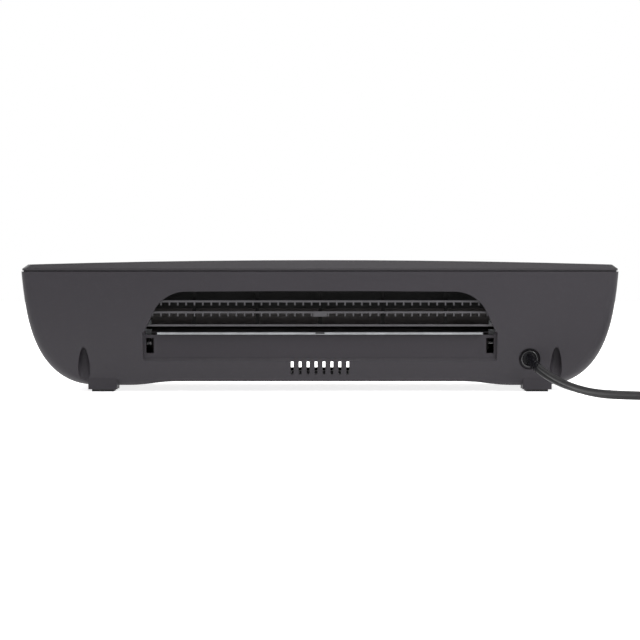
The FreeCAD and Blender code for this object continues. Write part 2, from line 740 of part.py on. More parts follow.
def coil_spring(y):
    """A compression spring between a carriage and the side plate's tab."""
    low, high = lug_low + lug_thickness, spring_seat
    height = high - low - 2 * spring_wire
    path = Part.makeHelix(height / spring_turns, height, spring_radius)
    section = Part.Wire([Part.makeCircle(spring_wire, V(spring_radius, 0, 0), V(0, 1, 0))])
    spring = Part.Wire(path).makePipeShell([section], True, True)
    spring.translate(V((carriage_inner + carriage_outer) / 2, y, low + spring_wire))
    return spring


for name, sign in (("hot", -1), ("exit", 1)):
    save(name + "_carriages", *both_sides(carriage(sign)))
    save(name + "_springs", *both_sides(coil_spring(sign * roller_y)))


# ---- Release ----
def cam():
    """A two-arm lifting cam whose radius grows evenly through the lever's turn."""
    points = []
    for angle in range(0, 360, 5):
        share = min(max((90 - angle) / release_turn, 0), 1) if 20 <= angle <= 90 else 0
        radius = cam_radius + release_lift * share
        points.append((radius * math.cos(math.radians(angle)),
                       release_height + radius * math.sin(math.radians(angle))))
    return prism_x(points, (carriage_inner + 0.6, carriage_outer - 0.6))


save("release_shaft", joined(
    bar_x(release_radius, (lever_x - 3.5, plate_inner + plate_thickness + 2), 0, release_height),
    *both_sides(cam())))
hub_radius = 5.5
lever = joined(bar_x(hub_radius, (lever_x - 3, lever_x + 3), 0, release_height),
               box((lever_x - 2.4, lever_x + 2.4), (-3.2, 3.2),
                   (release_height, release_height + lever_length - 3)),
               box((lever_x - 3.4, lever_x + 3.4), (-4.2, 4.2),
                   (release_height + lever_length - 5, release_height + lever_length)))
lever = lever.cut(bar_x(release_radius, (lever_x - 4, lever_x + 4), 0, release_height))
lever.rotate(V(0, 0, release_height), ALONG_X, -release_turn / 2)
save("release_lever", lever)


# ---- Heaters ----
def heater_plate(low):
    plate = box((-heater_half, heater_half), (-heater_half_depth, heater_half_depth),
                (low, low + heater_thickness))
    lug = box((heater_half, plate_inner), (-4.5, 4.5), (low, low + heater_thickness))
    plate = joined(plate, *both_sides(lug))
    return plate.cut(both_sides(bar_x(screw_shank, (plate_inner - 9, plate_inner + 1),
                                      0, low + heater_thickness / 2)))


strip_half, strip_half_depth = 116.0, 9.0
save("lower_heater_plate", heater_plate(heater_low))
save("upper_heater_plate", heater_plate(heater_high))
strip_high = heater_high + heater_thickness
save("heating_strips", *[box((-strip_half, strip_half), (-strip_half_depth, strip_half_depth), z) for z in (
    (heater_low - strip_thickness, heater_low), (strip_high, strip_high + strip_thickness))])
sensor_floor = strip_high + strip_thickness
save("thermostat", joined(post(8.5, 40, 0, (sensor_floor, sensor_floor + 4.0)),
                          post(5.0, 40, 0, (sensor_floor, sensor_floor + 5.5)),
                          box((29.5, 32.5), (-2.5, 2.5), (sensor_floor, sensor_floor + 1.2)),
                          box((29.5, 50.5), (-1.5, 1.5), (sensor_floor, sensor_floor + 2.0))))
save("thermal_fuse", joined(bar_x(2.0, (-48, -34), 0, sensor_floor + 2.0),
                            bar_x(0.5, (-56, -26), 0, sensor_floor + 2.0)))
shield_low = tie_rod_height + tie_rod_radius
shield_half, shield_half_depth, shield_thickness = 126.0, 44.0, 0.8
save("heat_shield", joined(
    box((-shield_half, shield_half), (-shield_half_depth, shield_half_depth),
        (shield_low, shield_low + shield_thickness)),
    *[box((-shield_half, shield_half),
          tuple(sorted((sign * shield_half_depth, sign * (shield_half_depth - shield_thickness)))),
          (tie_rod_height - 12, shield_low + shield_thickness)) for sign in (-1, 1)]))

# ---- Motor ----
bracket_inner = gear_start + gear_width + 3.0
bracket_half_depth = 32.0
motor_radius, motor_length, motor_drop = 25.0, 19.0, 10.0
motor_height = pinion_height - motor_drop
motor_ear = 29.0
bracket_feet = [(y, z) for y in (-16.0, 16.0) for z in (15.5, 78.0)]
bracket = box((bracket_inner, bracket_inner + plate_thickness), (-bracket_half_depth, bracket_half_depth),
              (plate_low, plate_high))
legs = [bar_x(3.0, (plate_inner + plate_thickness, bracket_inner + 0.1), y, z) for y, z in bracket_feet]
bracket_holes = [(6.0, 0, pinion_height), (screw_hole, -motor_ear, motor_height),
                 (screw_hole, motor_ear, motor_height)]
save("motor_bracket", joined(bracket, *legs).cut(
    [bar_x(radius, (bracket_inner - 1, bracket_inner + 3), y, z) for radius, y, z in bracket_holes]))
motor_face = bracket_inner + plate_thickness
motor = joined(bar_x(motor_radius, (motor_face, motor_face + motor_length), 0, motor_height),
               bar_x(5.9, (bracket_inner, motor_face + 1), 0, pinion_height),
               box((motor_face, motor_face + 1.2), (-motor_ear - 4, motor_ear + 4),
                   (motor_height - 4, motor_height + 4)))
motor = motor.cut([bar_x(stud_radius + running_gap, (bracket_inner - 1, motor_face + 8), 0, pinion_height)]
                  + [bar_x(screw_hole, (motor_face - 1, motor_face + 3), y, motor_height)
                     for y in (-motor_ear, motor_ear)])
save("gear_motor", motor)
save("motor_shaft", bar_x(stud_radius, (gear_start - 1, motor_face + 7.8), 0, pinion_height))
save("motor_pinion", gear(pinion_teeth, turns["pinion"], (0, pinion_height), stud_radius))

machine_screws = []
outside = plate_inner + plate_thickness


def m3_screw(length, seat, direction):
    return screw(screw_shank - 0.02, 2.75, length, 1.8, seat, direction)


for sign in (-1, 1):
    flange_seat = (chassis_screw_x, sign * flange_y, plate_low + plate_thickness)
    machine_screws += both_sides(m3_screw(6.5, flange_seat, (0, 0, -1)))
    machine_screws += both_sides(m3_screw(8.0, (outside, sign * tie_rod_y, tie_rod_height), (-1, 0, 0)))
    machine_screws.append(m3_screw(5.0, (motor_face + 1.2, sign * motor_ear, motor_height), (-1, 0, 0)))
for z in heater_screw_heights:
    machine_screws += both_sides(m3_screw(8.0, (outside, 0, z), (-1, 0, 0)))
save("machine_screws", *machine_screws)

# ---- Controls ----
cap_top = panel_top + 0.3
flange_top = panel_top - panel_thickness - 0.15
button_floor = flange_top - 1.2
switch_height = 3.6
lens_floor = board_top + 2.0
stem_low = board_top + switch_height + button_travel + 0.1


def control_panel():
    panel = box((-panel_half + 0.15, panel_half - 0.15),
                (panel_y - panel_half_depth + 0.15, panel_y + panel_half_depth - 0.15),
                (panel_top - panel_thickness, panel_top))
    panel = panel.makeFillet(0.5, [e for e in panel.Edges if e.BoundBox.ZMin > panel_top - 0.01])
    through = (panel_top - 3, panel_top + 1)
    holes = [post(button_radius + button_gap, x, panel_y, through) for x in button_places.values()]
    holes += [post(lens_radius + running_gap, x, panel_y, through) for x in lens_places.values()]
    return panel.cut(holes)


def button(x):
    cap = post(button_radius, x, panel_y, (button_floor, cap_top))
    cap = cap.makeFillet(0.6, [e for e in cap.Edges if e.BoundBox.ZMin > cap_top - 0.01])
    return joined(cap, post(button_radius + 1.2, x, panel_y, (button_floor, flange_top)),
                  post(2.0, x, panel_y, (stem_low, button_floor + 0.5)))


def lens(x):
    return joined(post(lens_radius, x, panel_y, (lens_floor, panel_top + 0.1)),
                  post(lens_radius + 0.8, x, panel_y, (flange_top - 1.0, panel_top - panel_thickness)))


def control_board():
    front, back = board_screw_ys[0] - board_screw_edge, board_screw_ys[1] + board_screw_edge
    board = joined(
        box((-board_half, board_half), (front, back), (board_low, board_top)),
        *[box((x - 1.5, x + 1.5), (panel_y - 1.5, panel_y + 1.5), (board_top, lens_floor))
          for x in lens_places.values()],
        box((20, 32), (-57, -50), (board_top, board_top + 1.6)),
        box((-40, -28), (-41, -36), (board_low - 4, board_low)))
    return board.cut([post(1.3, x, y, (board_low - 1, board_top + 1)) for x, y in board_screw_places])


def tact_switch(x):
    return joined(box((x - 3, x + 3), (panel_y - 3, panel_y + 3),
                      (board_top, board_top + switch_height - 0.6)),
                  post(1.6, x, panel_y, (board_top, board_top + switch_height)))


def power_board():
    low, top = power_board_low, power_board_low + board_thickness
    board = joined(
        box((-190, -146), (-33, 27), (low, top)),
        box((-178, -160), (14, 25), (low, low + 11)),      # terminal block
        box((-184, -172), (-14, -4), (low, low + 13)),     # relay
        post(5.0, -163, -8, (low, low + 17)),              # capacitor
        box((-178, -160), (-30, -25), (low, low + 19)))    # triac on its fin
    return board.cut([post(1.3, x, y, (low - 1, top + 1)) for x, y in board_posts])


save("control_panel", control_panel())
for name, x in button_places.items():
    save(name, button(x))
for name, x in lens_places.items():
    save(name, lens(x))
save("control_board", control_board())
save("tact_switches", *[tact_switch(x) for x in button_places.values()])
save("power_board", power_board())
board_screws = [screw(1.08, 2.1, 5.5, 1.4, (x, y, board_low), (0, 0, 1)) for x, y in board_screw_places]
board_screws += [screw(1.18, 2.1, 5.5, 1.4, (x, y, power_board_low + board_thickness), (0, 0, -1))
                 for x, y in board_posts]
save("board_screws", *board_screws)


# ---- Mains lead ----
def smooth_path(points, label):
    """Straight runs joined by tangent arcs, each arc as large as its two runs allow."""
    points = [V(*p) for p in points]
    edges, radii, start = [], [], points[0]
    for before, corner, after in zip(points, points[1:], points[2:]):
        back, ahead = (before - corner), (after - corner)
        shorter = min(back.Length, ahead.Length)
        back.normalize()
        ahead.normalize()
        half_turn = (math.pi - back.getAngle(ahead)) / 2
        reach = 0.45 * shorter
        radii.append(reach / math.tan(half_turn))
        first, last = corner + back * reach, corner + ahead * reach
        inward = (back + ahead).normalize()
        distance = radii[-1] / math.cos(half_turn) - radii[-1]
        if (first - start).Length > 1e-6:
            edges.append(Part.LineSegment(start, first).toShape())
        edges.append(Part.Arc(first, corner + inward * distance, last).toShape())
        start = last
    edges.append(Part.LineSegment(start, points[-1]).toShape())
    print(f"{label} radii:", ", ".join(f"{r:.0f}" for r in radii))
    return Part.Wire(edges), sum(e.Length for e in edges)


def lead(points, radius, label):
    path, length = smooth_path(points, label)
    first = path.Edges[0]
    section = Part.Wire([Part.makeCircle(radius, V(*points[0]), first.tangentAt(first.FirstParameter))])
    solid = path.makePipeShell([section], True, False)
    expected = math.pi * radius ** 2 * length
    print(f"{label}: {length:.1f} mm long, volume {solid.Volume:.1f} against {expected:.1f}")
    return solid


save("strain_relief", joined(*[
    rod(radius, (gland_x, gland_seat + start, gland_height), (gland_x, gland_seat + end, gland_height))
    for radius, start, end in ((gland_flange_radius, 0, gland_flange),
                               (gland_neck_radius - 0.1, -6, 0),
                               (gland_neck_radius + 1.4, -8, -3.2))]))
save("power_cord", lead(cord_route, cord_thickness / 2, "cord"), lead(tail_route, cord_thickness / 2, "tail"))
coil = post(coil_radius + coil_half_width, *coil_centre, (0, coil_height)).cut(
    post(coil_radius - coil_half_width, *coil_centre, (-1, coil_height + 1)))
save("cord_coil", coil)
plug = box((plug_x - 10.5, plug_x + 10.5), (plug_back - 28, plug_back), (0, 14))
plug = plug.makeFillet(3.0, [e for e in plug.Edges if e.BoundBox.YLength > 1])
save("plug_body", plug)
save("plug_blades", *[box((x - 0.8, x + 0.8), (plug_back - 46, plug_back - 28), (3.8, 10.2))
                      for x in (plug_x - 6.35, plug_x + 6.35)])
gland_end = gland_seat - 8
terminal_height = power_board_low + 6
terminal_end = 25.0
lead_routes = [(
    (gland_x + start, gland_end, gland_height), (gland_x + start, gland_end - 8, gland_height),
    (gland_x + start - 7, gland_end - 16, terminal_height), (end, terminal_end + 6.5, terminal_height),
    (end, terminal_end, terminal_height)) for start, end in ((-2.2, -172.0), (2.2, -163.0))]
save("mains_leads", *[lead(points, 1.1, "mains lead") for points in lead_routes])
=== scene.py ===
import json
import math

import bpy
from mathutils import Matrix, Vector


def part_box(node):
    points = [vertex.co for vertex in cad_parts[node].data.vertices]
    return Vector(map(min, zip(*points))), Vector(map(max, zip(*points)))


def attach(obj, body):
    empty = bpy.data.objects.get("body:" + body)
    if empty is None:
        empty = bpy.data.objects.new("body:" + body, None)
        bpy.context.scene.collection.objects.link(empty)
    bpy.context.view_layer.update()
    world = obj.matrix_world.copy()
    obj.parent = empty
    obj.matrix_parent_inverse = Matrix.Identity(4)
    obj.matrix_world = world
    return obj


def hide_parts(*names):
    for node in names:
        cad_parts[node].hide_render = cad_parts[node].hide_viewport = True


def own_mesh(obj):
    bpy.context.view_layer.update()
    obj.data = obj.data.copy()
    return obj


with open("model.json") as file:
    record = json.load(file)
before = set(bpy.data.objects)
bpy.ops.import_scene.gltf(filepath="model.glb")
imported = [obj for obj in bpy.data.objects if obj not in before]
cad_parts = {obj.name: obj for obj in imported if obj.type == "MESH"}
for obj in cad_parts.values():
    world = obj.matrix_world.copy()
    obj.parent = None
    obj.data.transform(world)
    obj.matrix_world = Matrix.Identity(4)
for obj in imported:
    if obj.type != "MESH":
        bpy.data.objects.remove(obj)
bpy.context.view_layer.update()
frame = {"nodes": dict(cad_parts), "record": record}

MM = 0.001
UP = Vector((0, 0, 1))
scene = bpy.context.scene


# ---- Camera ----
def place(name, data, location, look_at=None):
    thing = bpy.data.objects.new(name, data)
    scene.collection.objects.link(thing)
    thing.location = location
    if look_at is not None:
        thing.rotation_euler = (Vector(look_at) - Vector(location)).to_track_quat("-Z", "Y").to_euler()
    return thing


def softbox(name, location, look_at, size, watts):
    light = bpy.data.lights.new(name, "AREA")
    light.shape, light.size, light.size_y = "RECTANGLE", *size
    light.energy = watts
    place(name, light, location, look_at)


look_down = 1.42         # degrees below level
lens = bpy.data.cameras.new("studio_camera")
lens.lens, lens.sensor_width = 116.3, 36.0
camera = place("studio_camera", lens, (0.0, 1.570, 0.090))
camera.rotation_euler = (math.radians(90 - look_down), 0, math.radians(180))
scene.camera = camera
scene.view_settings.view_transform = "Standard"


# ---- Nodes and lights ----
class Wire:
    """One socket in a finish. A sum on wires adds its Math nodes."""

    def __init__(self, tree, socket):
        self.tree, self.socket = tree, socket

    def _sum(self, operation, left, right):
        node = self.tree.nodes.new("ShaderNodeMath")
        node.operation = operation
        for slot, value in zip(node.inputs, (left, right)):
            if isinstance(value, Wire):
                self.tree.links.new(value.socket, slot)
            else:
                slot.default_value = value
        return Wire(self.tree, node.outputs[0])

    def __add__(self, other):
        return self._sum("ADD", self, other)

    def __sub__(self, other):
        return self._sum("SUBTRACT", self, other)

    def __rsub__(self, other):
        return self._sum("SUBTRACT", other, self)

    def __mul__(self, other):
        return self._sum("MULTIPLY", self, other)

    __radd__, __rmul__ = __add__, __mul__


class NodeTree:
    """Nodes that are made one at a time and wired together."""

    def __init__(self, tree):
        self.tree = tree

    def node(self, kind, settings=(), sockets=(), out=0):
        made = self.tree.nodes.new("ShaderNode" + kind)
        for key, value in dict(settings).items():
            setattr(made, key, value)
        for key, value in dict(sockets).items():
            self.join(made.inputs[key], value)
        return Wire(self.tree, made.outputs[out])

    def join(self, slot, value):
        if isinstance(value, Wire):
            self.tree.links.new(value.socket, slot)
        else:
            slot.default_value = value


class Finish(NodeTree):
    """A material of nodes. Steady values go straight on the shader, and varying ones are wired to it."""

    def __init__(self, name, **steady):
        self.material = bpy.data.materials.new(name)
        self.material.use_nodes = True
        super().__init__(self.material.node_tree)
        self.shader = self.tree.nodes["Principled BSDF"]
        for socket, value in steady.items():
            self.shader.inputs[socket.replace("_", " ")].default_value = value
        self.where = self.node("TexCoord", out="Object")

    def noise(self, size, detail=2.0, roughness=0.5, stretch=None):
        """Soft lumps about so many millimetres across, drawn out along an axis where stretch says so."""
        place_on = self.where
        if stretch:
            place_on = self.node("Mapping", sockets={"Vector": self.where, "Scale": stretch})
        return self.node("TexNoise", sockets={"Vector": place_on, "Scale": 1000.0 / size,
                                              "Detail": detail, "Roughness": roughness})

    def cells(self, size, feature="F1", randomness=1.0, out="Distance"):
        return self.node("TexVoronoi", {"feature": feature},
                         {"Vector": self.where, "Scale": 1000.0 / size, "Randomness": randomness}, out)

    def band(self, value, low, high):
        """0 below low, 1 above high, smooth between them."""
        return self.node("MapRange", {"interpolation_type": "SMOOTHSTEP"},
                         {"Value": value, "From Min": low, "From Max": high})

    def mix(self, amount, first, second):
        """From the first colour to the second."""
        first, second = [c if isinstance(c, Wire) else (*c, 1) for c in (first, second)]
        return self.node("Mix", {"data_type": "RGBA"}, {0: amount, 6: first, 7: second}, 2)

    def bump(self, height, distance, strength=1.0, over=None):
        """Relief of so many millimetres, on top of other relief if there is some."""
        sockets = {"Height": height, "Distance": distance * MM, "Strength": strength}
        if over:
            sockets["Normal"] = over
        return self.node("Bump", sockets=sockets)

    def rounded(self, radius):
        """Edges that look rounded over by so many millimetres."""
        return self.node("Bevel", {"samples": 6}, {"Radius": radius * MM})

    def behind(self, edge, soft=0.4):
        """1 in front of a plane across the machine's depth and 0 behind it, in millimetres."""
        depth = self.node("SeparateXYZ", sockets={0: self.where}, out="Y")
        return self.band(depth, (edge - soft) * MM, edge * MM)

    def facing_up(self):
        normal = self.node("TexCoord", out="Normal")
        return self.node("SeparateXYZ", sockets={0: normal}, out="Z")

    def done(self, **wired):
        for socket, value in wired.items():
            self.join(self.shader.inputs[socket.replace("_", " ")], value)
        return self.material


def white_studio():
    """White walls and ceiling, dimmer on the side that the camera stands."""
    room = bpy.data.worlds.new("white_room")
    room.use_nodes = True
    walls = NodeTree(room.node_tree)
    toward = walls.node("TexCoord", out="Generated")
    depth = walls.node("SeparateXYZ", sockets={0: toward}, out="Y")
    dimmer = walls.node("MapRange", {"interpolation_type": "SMOOTHSTEP"}, {
        "Value": depth, "From Min": -0.25, "From Max": 0.75, "To Min": 1.0, "To Max": 0.42})
    background = room.node_tree.nodes["Background"]
    walls.join(background.inputs["Strength"], dimmer)
    walls.join(background.inputs["Color"], (1, 1, 1, 1))
    scene.world = room


white_studio()
softbox("overhead_softbox", (0.0, 0.20, 0.75), (0, 0, 0.05), (0.45, 0.5), 3.6)
softbox("right_softbox", (-0.50, 0.55, 0.42), (-0.20, 0.07, 0.08), (0.25, 0.25), 3.0)
softbox("left_softbox", (0.65, 0.70, 0.60), (0.20, 0.07, 0.10), (0.3, 0.3), 0.9)
softbox("far_softbox", (0.9, -1.3, 0.9), (0, 0, 0.05), (1.0, 0.8), 7)


# ---- Finishes ----
def shade(colour, factor):
    return tuple(min(1.0, c * factor) for c in colour)


def moulded(name, colour, rough=0.48, sheen=0.3, grain=0.7, relief=0.012, mottle=0.07, dust=0.0, rubs=0.0,
            edge=0.0, painted_highlight=None, painted_shade_behind=None):
    """Moulded plastic with a fine spark-eroded grain, faint cloudiness, dust on top and light rubbing; it
    can also carry a painted highlight along an edge and painted shade behind a plane.
    """
    f = Finish(name, Specular_IOR_Level=sheen)
    fine, broad = f.noise(grain, 1.5), f.noise(55, 3)
    speck = f.noise(2.2, 2)
    tone = f.mix(broad, shade(colour, 1 - mottle), shade(colour, 1 + mottle))
    tone = f.mix(f.band(speck, 0.52, 0.75) * 0.12, tone, shade(colour, 1.5))
    scuff = f.band(f.noise(5, 4, 0.7, (0.16, 1, 1)), 0.60, 0.72) * f.band(f.noise(34, 2), 0.5, 0.65)
    tone = f.mix(scuff * rubs, tone, shade(colour, 2.1))
    settled = f.band(f.facing_up(), 0.35, 0.95) * f.band(f.noise(9, 4, 0.65), 0.35, 0.8)
    tone = f.mix(settled * dust, tone, (0.30, 0.29, 0.28))
    gloss = rough + (fine - 0.5) * 0.14 + (broad - 0.5) * 0.10 + scuff * rubs * 0.5 + settled * dust
    # Painted highlight: the edge strip in front of the given plane is coloured lighter to stand in for
    # light catching that edge, and made a little glossier.
    if painted_highlight:
        at, highlight_colour = painted_highlight
        highlight_mask = f.behind(at) * (0.75 + f.band(f.noise(7, 3), 0.35, 0.7) * 0.25)
        tone, gloss = f.mix(highlight_mask, tone, highlight_colour), gloss - highlight_mask * 0.12
    # Painted shade: everything behind the plane is coloured near-black and made rougher, standing in for
    # the shade deep inside the mouth.
    if painted_shade_behind:
        tone = f.mix(f.behind(painted_shade_behind), (0.003, 0.003, 0.003), tone)
        gloss = gloss + (1 - f.behind(painted_shade_behind)) * 0.4
    edges = f.rounded(edge) if edge else None
    return f.done(Base_Color=tone, Roughness=gloss, Normal=f.bump(fine, relief * 2, over=edges))


def glossy(name, colour, rough=0.12, sheen=0.5, coat=0.3, smear=0.12):
    """Polished plastic with finger smears and a few hairline scratches."""
    f = Finish(name, Specular_IOR_Level=sheen, Coat_Weight=coat, Coat_Roughness=0.06)
    broad = f.noise(18, 4, 0.6)
    hair = f.band(f.noise(2.5, 3, 0.6, (0.05, 1, 1)), 0.66, 0.70)
    tone = f.mix(broad, shade(colour, 0.9), shade(colour, 1.12))
    tone = f.mix(hair * 0.10, tone, (0.25, 0.25, 0.25))
    gloss = rough + f.band(broad, 0.45, 0.75) * smear + hair * 0.2
    return f.done(Base_Color=tone, Roughness=gloss, Normal=f.bump(broad, 0.02, 0.3))


def rubbery(name, colour, rough=0.7, sheen=0.35, grain=0.9, relief=0.02, bloom=0.18):
    """Soft rubber: a matt, slightly uneven skin with a pale bloom and lint caught in it."""
    f = Finish(name, Specular_IOR_Level=sheen)
    fine, cloud = f.noise(grain, 3), f.noise(14, 4, 0.6)
    lint = f.band(f.noise(3.0, 3, 0.6, (1, 0.2, 1)), 0.70, 0.76)
    tone = f.mix(f.band(cloud, 0.35, 0.75) * bloom, colour, shade(colour, 2.2))
    tone = f.mix(lint * 0.15, tone, (0.25, 0.25, 0.26))
    gloss = rough + (cloud - 0.5) * 0.15 + (fine - 0.5) * 0.10
    return f.done(Base_Color=tone, Roughness=gloss, Normal=f.bump(fine, relief))


def metal(name, colour, rough=0.30, lay=(0.04, 1, 1), relief=0.006, stain=0.15, spangle=0.0):
    """Metal with its working marks along one way, dull stains, and spangle where it is zinc-plated."""
    f = Finish(name, Metallic=1.0)
    marks, cloud = f.noise(0.8, 3, 0.6, lay), f.noise(12, 4, 0.6)
    tone = f.mix(marks, shade(colour, 0.86), shade(colour, 1.10))
    tone = f.mix(f.band(cloud, 0.45, 0.8) * stain, tone, shade(colour, 0.55))
    gloss = rough + (marks - 0.5) * 0.16 + f.band(cloud, 0.4, 0.8) * 0.12
    if spangle:
        flake = f.node("SeparateColor", sockets={0: f.cells(5.5, out="Color")})
        tone = f.mix(flake * spangle, tone, shade(colour, 1.35))
        gloss = gloss + flake * spangle * 0.25
    return f.done(Base_Color=tone, Roughness=gloss, Normal=f.bump(marks, relief))


def gear_stock(name, colour):
    """Natural acetal: waxy off-white, greyed where grease holds fine dust."""
    f = Finish(name, Specular_IOR_Level=0.45, Subsurface_Weight=0.06, Subsurface_Scale=0.002)
    cloud, grease = f.noise(8, 4, 0.6), f.noise(3.2, 4, 0.65)
    tone = f.mix(cloud, shade(colour, 0.92), shade(colour, 1.05))
    held = f.band(grease, 0.52, 0.72)
    tone = f.mix(held * 0.45, tone, (0.20, 0.18, 0.14))
    return f.done(Base_Color=tone, Roughness=0.42 - held * 0.18 + (cloud - 0.5) * 0.1,
                  Normal=f.bump(grease, 0.03, 0.5))


def mica_sheet(name, colour):
    """Pressed mica: overlapping glittering flakes with brown resin between."""
    f = Finish(name, Specular_IOR_Level=0.6)
    flake = f.node("SeparateColor", sockets={0: f.cells(2.6, out="Color")})
    edge = f.band(f.cells(2.6, "DISTANCE_TO_EDGE"), 0.0, 0.07)
    tone = f.mix(flake, shade(colour, 0.65), shade(colour, 1.25))
    tone = f.mix((1 - edge) * 0.5, tone, (0.20, 0.13, 0.06))
    return f.done(Base_Color=tone, Roughness=0.25 + flake * 0.35, Metallic=flake * 0.3,
                  Normal=f.bump(edge, 0.04, 0.6))


def circuit(name, colour):
    """Solder-masked laminate: copper runs showing through the green, with tinned joints."""
    f = Finish(name, Specular_IOR_Level=0.5, Coat_Roughness=0.2)
    runs = f.band(f.cells(7, "DISTANCE_TO_EDGE", 0.55), 0.06, 0.10)
    joint = 1 - f.band(f.cells(3.8, randomness=0.35), 0.16, 0.20)
    cloth = f.noise(0.6, 2)
    tone = f.mix(runs, shade(colour, 1.9), colour)
    tone = f.mix(cloth * 0.25, tone, shade(colour, 0.6))
    tone = f.mix(joint, tone, (0.62, 0.62, 0.64))
    return f.done(Base_Color=tone, Metallic=joint * 0.9, Roughness=0.28 + cloth * 0.12 + joint * 0.1,
                  Coat_Weight=(1 - joint) * 0.4, Normal=f.bump((1 - runs) * 0.5 + joint, 0.06, 0.7))


def indicator(name, colour):
    """Tinted clear lens with the faint rings of its moulded back."""
    f = Finish(name, Specular_IOR_Level=0.6, Coat_Weight=0.8, Coat_Roughness=0.04,
               Subsurface_Weight=0.3, Subsurface_Scale=0.002)
    rings = f.noise(0.5, 1, 0.5, (1, 1, 0.1))
    tone = f.mix(rings, shade(colour, 0.7), shade(colour, 1.3))
    return f.done(Base_Color=tone, Roughness=0.12 + rings * 0.1, Normal=f.bump(rings, 0.02, 0.4))


finishes = {
    "case": moulded("case_plastic", (0.0232, 0.0208, 0.0248), sheen=0.20, rubs=0.10, dust=0.03, edge=0.7),
    "lid": moulded("lid_plastic", (0.0290, 0.0270, 0.0298), sheen=0.15, rubs=0.08, dust=0.03, mottle=0.04,
                    edge=0.6),
    "inner_plastic": moulded("grille_plastic", (0.0200, 0.0190, 0.0215), rough=0.5, dust=0.02),
    "button": moulded("button_plastic", (0.30, 0.30, 0.31), rough=0.38, grain=0.4, mottle=0.04),
    "bearing_plastic": moulded("bearing_plastic", (0.09, 0.08, 0.07), rough=0.40, grain=1.2),
    "switch": moulded("switch_plastic", (0.03, 0.03, 0.03), rough=0.35, grain=0.3),
    "panel": glossy("panel_black", (0.012, 0.012, 0.013), rough=0.32, sheen=0.35, coat=0.0),
    "gland_black": glossy("gland_nylon", (0.004, 0.004, 0.005), rough=0.2, sheen=0.12, coat=0.0),
    "foot_rubber": rubbery("foot_rubber", (0.020, 0.020, 0.021)),
    "silicone": rubbery("roller_silicone", (0.045, 0.040, 0.040), rough=0.6, grain=1.6, bloom=0.1),
    "lead_pvc": rubbery("lead_pvc", (0.0140, 0.0138, 0.0144), rough=0.46, sheen=0.26, grain=1.4,
                        relief=0.01, bloom=0.1),
    "steel": metal("ground_steel", (0.55, 0.55, 0.56), rough=0.22),
    "spring_steel": metal("spring_wire", (0.40, 0.40, 0.42), rough=0.34, lay=(1, 1, 0.1)),
    "zinc_sheet": metal("zinc_sheet", (0.52, 0.54, 0.56), rough=0.36, lay=(1, 1, 1), spangle=0.35),
    # Painted shade: the black sheet is a near-black part that stands in for the shade inside the machine's
    # mouth.
    "black_sheet": moulded("painted_shade_shield", (0.012, 0.012, 0.012), rough=0.65, sheen=0.15, grain=0.5,
                           mottle=0.15),
    "motor_steel": metal("motor_can", (0.45, 0.46, 0.48), rough=0.40, lay=(1, 0.1, 1), spangle=0.15),
    "heater_aluminium": metal("heater_plate", (0.64, 0.65, 0.67), rough=0.38, lay=(0.02, 1, 1)),
    "sensor": metal("sensor_can", (0.66, 0.66, 0.68), rough=0.28, lay=(1, 1, 1)),
    "brass": metal("brass", (0.68, 0.52, 0.24), rough=0.26, lay=(1, 0.05, 1)),
    "gear_plastic": gear_stock("gear_acetal", (0.60, 0.58, 0.52)),
    "mica": mica_sheet("mica_sheet", (0.52, 0.47, 0.36)),
    "board": circuit("circuit_board", (0.030, 0.12, 0.045)),
    "lens_red": indicator("red_lens", (0.45, 0.03, 0.02)),
    "lens_green": indicator("green_lens", (0.05, 0.35, 0.08)),
}


def coat_with(thing, finish):
    thing.data.materials.clear()
    thing.data.materials.append(finish)


for part in frame["record"]["subparts"]:
    coat_with(frame["nodes"][part["node"]], finishes[part["material_slot"]])

# Painted highlight on the grille's outer slat edges, and painted shade on all of it that lies deeper in.
grille_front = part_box("exit_grille")[1].y / MM
coat_with(frame["nodes"]["exit_grille"], moulded(
    "exit_grille_plastic", (0.0200, 0.0190, 0.0215), rough=0.5, edge=0.4,
    painted_highlight=(grille_front - 0.2, (0.056, 0.054, 0.059)), painted_shade_behind=grille_front - 0.9))
# Painted highlight: the shelf's outer edge is coloured several times lighter than the shelf, standing in
# for light catching it.
shelf_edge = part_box("exit_shelf")[1].y / MM
coat_with(frame["nodes"]["exit_shelf"], moulded(
    "exit_shelf_plastic", (0.0330, 0.0318, 0.0345), sheen=0.3,
    painted_highlight=(shelf_edge - 0.3, (0.230, 0.240, 0.248))))


# ---- Swept pieces: the mains lead, its sleeve, its tie and the plug ----
def smooth_line(points, resolution=6):
    """The smooth line that control points in millimetres give, as points in metres."""
    curve = bpy.data.curves.new("line", "CURVE")
    curve.dimensions, curve.resolution_u = "3D", resolution
    spline = curve.splines.new("NURBS")
    spline.points.add(len(points) - 1)
    for control, at in zip(spline.points, points):
        control.co = (*(value * MM for value in at), 1)
    spline.order_u = 3
    spline.use_endpoint_u = True
    holder = place("line", curve, (0, 0, 0))
    bpy.context.view_layer.update()
    flat = bpy.data.meshes.new_from_object(holder)
    line = [vertex.co.copy() for vertex in flat.vertices]
    bpy.data.objects.remove(holder)
    bpy.data.curves.remove(curve)
    bpy.data.meshes.remove(flat)
    return line


def headings(line):
    return [(line[min(i + 1, len(line) - 1)] - line[max(i - 1, 0)]).normalized() for i in range(len(line))]


def along(line):
    """How far each point is from the start, in millimetres."""
    total, marks = 0.0, [0.0]
    for here, there in zip(line, line[1:]):
        total += (there - here).length / MM
        marks.append(total)
    return marks


def ease(value, low, high):
    t = min(1.0, max(0.0, (value - low) / (high - low)))
    return t * t * (3 - 2 * t)


